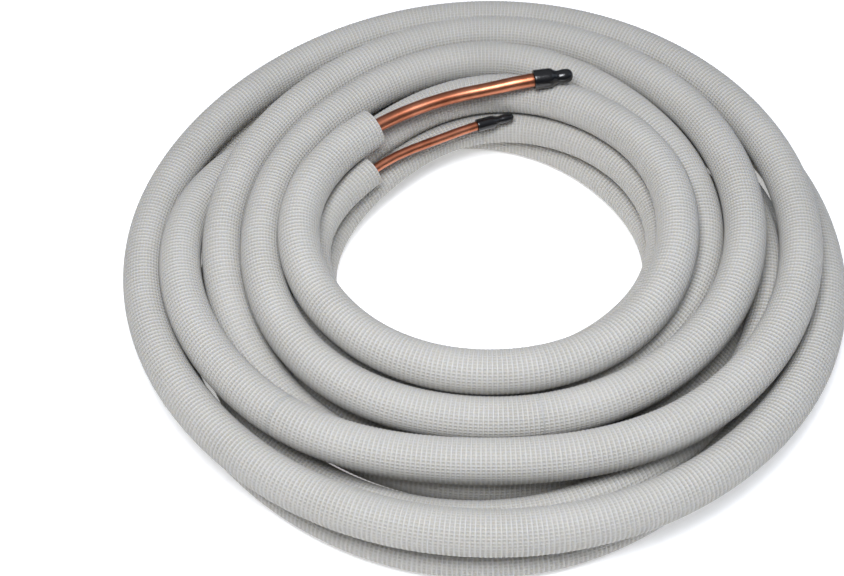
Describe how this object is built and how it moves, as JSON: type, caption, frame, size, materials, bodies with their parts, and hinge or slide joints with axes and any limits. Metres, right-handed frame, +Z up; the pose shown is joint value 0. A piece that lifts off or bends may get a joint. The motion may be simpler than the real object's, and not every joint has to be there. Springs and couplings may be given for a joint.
{
  "type": "mini split line set",
  "caption": "Coiled soft copper tubes, each in its own embossed white foam sleeve with capped ends, that join an indoor and an outdoor air conditioner unit.",
  "frame": {"origin": "middle of the coil's outline, on the floor that it lies on", "axes": "+Z up along the coil's axis; +Y from the near side towards the side with the capped tube ends; +X to the right"},
  "size_m": [0.471, 0.4572, 0.0801],
  "materials": {
    "foam": "embossed white polyethylene foam",
    "copper": "satin drawn copper",
    "cap": "glossy black vinyl"
  },
  "bodies": {
    "root": {"suction_tube": "copper", "suction_insulation": "foam", "suction_cap_near": "cap", "suction_cap_far": "cap", "liquid_tube": "copper", "liquid_insulation": "foam", "liquid_cap_near": "cap", "liquid_cap_far": "cap"}
  },
  "joints": []
}
